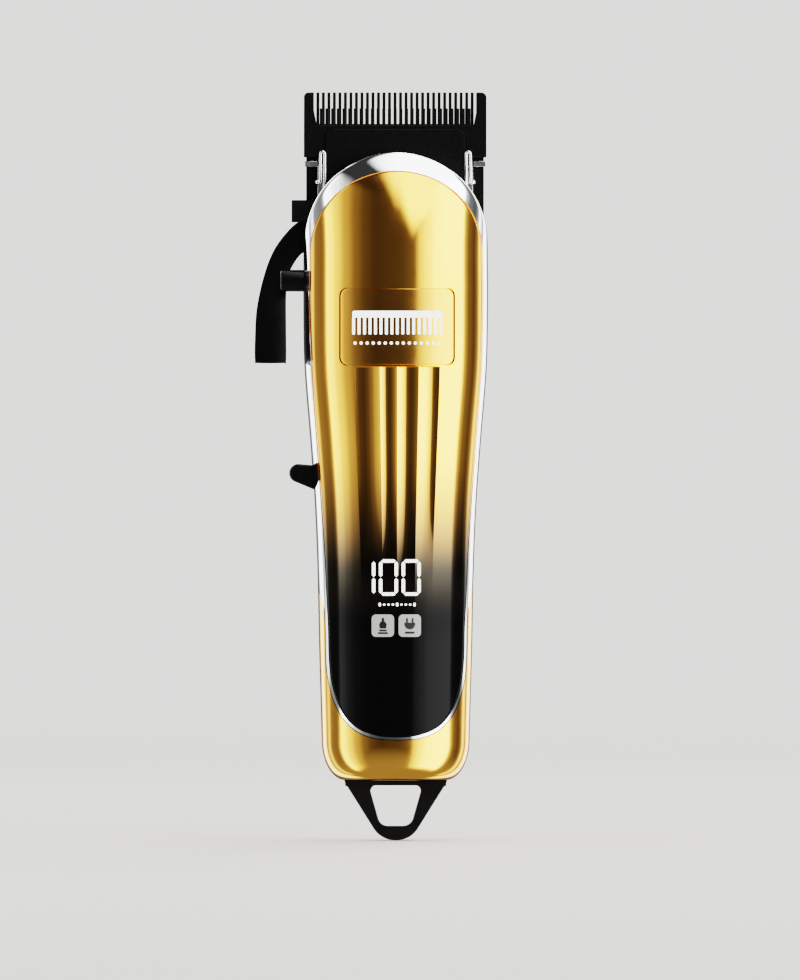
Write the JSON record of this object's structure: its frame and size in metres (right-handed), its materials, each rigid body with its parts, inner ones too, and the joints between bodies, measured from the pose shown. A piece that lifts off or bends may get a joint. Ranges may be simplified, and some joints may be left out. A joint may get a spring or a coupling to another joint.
{
  "type": "hair clipper",
  "caption": "Cordless hair clipper with gold face plate, chrome frame, adjustable toothed blade, taper lever, push button, slide switch, percentage display and hanging loop.",
  "frame": {"origin": "centre of the hanging hole in the loop at the tail", "axes": "+Z along the clipper from the loop to the blade, -Y out of the face plate, +Y to the skin side, +X to the right as the face is seen"},
  "size_m": [0.0582, 0.0364, 0.187],
  "materials": {
    "gold_shell": "gold electroplated, mirror",
    "gold_face": "gold electroplated, fading to gloss black",
    "chrome_trim": "polished chrome",
    "badge_gold": "satin gold",
    "white_print": "white print, lit",
    "tile_grey": "light grey",
    "black_print": "black print",
    "black_matte": "fine matte black",
    "black_gloss": "gloss black",
    "white_plastic": "moulded acetal",
    "dark_steel": "black coated, satin",
    "bright_steel": "ground steel",
    "copper": "copper",
    "magnet": "ferrite",
    "board": "circuit board",
    "sleeve": "shrink sleeve"
  },
  "bodies": {
    "housing": {"rear_shell": "gold_shell", "chrome_frame": "chrome_trim", "face_plate": "gold_face", "badge_plate": "badge_gold", "badge_mark": "white_print", "display_digits": "white_print", "display_ticks": "white_print", "icon_tiles": "tile_grey", "icon_glyphs": "black_print", "display_board": "board", "side_inlay": "black_gloss", "hang_loop": "black_matte", "nose_chassis": "black_matte", "shell_screws": "bright_steel", "charge_socket": "bright_steel", "charge_board": "board", "main_board": "board", "battery_cell": "sleeve", "battery_terminals": "bright_steel", "battery_cradles": "black_matte", "motor_can": "bright_steel", "motor_magnets": "magnet", "motor_end_cap": "white_plastic", "motor_bush": "copper", "motor_mount": "black_matte", "motor_screws": "bright_steel", "rocker_pin": "bright_steel", "tension_spring": "bright_steel", "spring_clamps": "black_matte", "clamp_screws": "bright_steel", "lever_screw": "bright_steel", "lever_washer": "bright_steel", "button_collar": "black_gloss", "button_spring": "bright_steel", "tact_switch": "black_matte", "switch_body": "black_matte"},
    "rotor": {"rotor_shaft": "bright_steel", "rotor_core": "bright_steel", "rotor_windings": "copper", "commutator": "copper", "eccentric_cam": "bright_steel", "cam_bearing": "bright_steel"},
    "rocker": {"drive_rocker": "white_plastic"},
    "cutter": {"moving_blade": "dark_steel", "cutter_guide": "white_plastic", "guide_rivets": "bright_steel"},
    "taper": {"fixed_blade": "dark_steel", "blade_frame": "dark_steel", "blade_screws": "bright_steel", "frame_screws": "bright_steel", "taper_bracket": "bright_steel"},
    "lever": {"taper_lever": "black_gloss"},
    "button": {"power_button": "black_gloss"},
    "slider": {"speed_slider": "black_gloss"}
  },
  "joints": [
    {"name": "motor_spin", "type": "hinge", "parent": "housing", "child": "rotor", "pos_m": [0, -0.001, 0.1], "axis": [0, 0, 1], "continuous": true},
    {"name": "rocker_swing", "type": "hinge", "parent": "housing", "child": "rocker", "pos_m": [0, 0, 0.133], "axis": [0, 1, 0], "range_deg": [-3.6, 3.6]},
    {"name": "cutter_slide", "type": "slide", "parent": "housing", "child": "cutter", "axis": [1, 0, 0], "range_m": [-0.0013, 0.0013]},
    {"name": "lever_turn", "type": "hinge", "parent": "housing", "child": "lever", "pos_m": [-0.0195, 0.0076, 0.1427], "axis": [0, 1, 0], "range_deg": [0, 34]},
    {"name": "taper_slide", "type": "slide", "parent": "housing", "child": "taper", "axis": [0, 0, 1], "range_m": [-0.002, 0]},
    {"name": "button_press", "type": "slide", "parent": "housing", "child": "button", "axis": [1, 0, 0], "range_m": [0, 0.0008], "stiffness_N_per_m": 600, "deforming": ["button_spring"]},
    {"name": "slider_move", "type": "slide", "parent": "housing", "child": "slider", "axis": [0, 0, 1], "range_m": [0, 0.003]}
  ],
  "couplings": [
    {"joint": "cutter_slide", "follows": "rocker_swing", "m_per_rad": 0.02},
    {"joint": "lever_turn", "follows": "taper_slide", "rad_per_m": -296.7}
  ]
}
